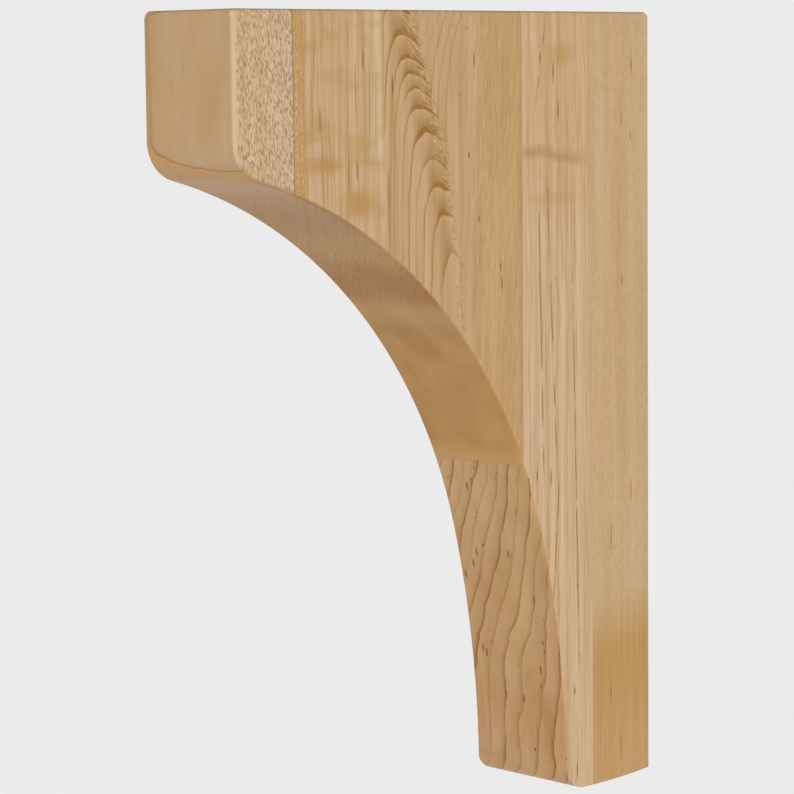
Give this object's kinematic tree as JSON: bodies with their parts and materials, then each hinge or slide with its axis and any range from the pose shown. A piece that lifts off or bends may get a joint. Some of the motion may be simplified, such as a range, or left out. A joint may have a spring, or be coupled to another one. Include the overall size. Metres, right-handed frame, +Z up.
{
  "type": "wooden corbel bracket",
  "caption": "Plain solid maple corbel bracket with a square nose, a large concave arch and a slim leg, fixed flat to a wall to carry a shelf or worktop.",
  "frame": {"origin": "centre of the back face, on the wall plane, halfway up the bracket", "axes": "+Z up along the wall, +Y into the wall, so the nose points along -Y; X runs across the width"},
  "size_m": [0.0572, 0.254, 0.3556],
  "materials": {
    "nose_maple": "clear satin lacquer over hard maple with ray fleck",
    "shoulder_maple": "clear satin lacquer over straight-grained hard maple",
    "middle_maple": "clear satin lacquer over flat-sawn hard maple with cathedral grain",
    "leg_maple": "clear satin lacquer over pale hard maple",
    "wall_maple": "clear satin lacquer over plain hard maple"
  },
  "bodies": {
    "root": {"nose_board": "nose_maple", "shoulder_board": "shoulder_maple", "middle_board": "middle_maple", "leg_front_board": "leg_maple", "wall_board": "wall_maple"}
  },
  "joints": []
}
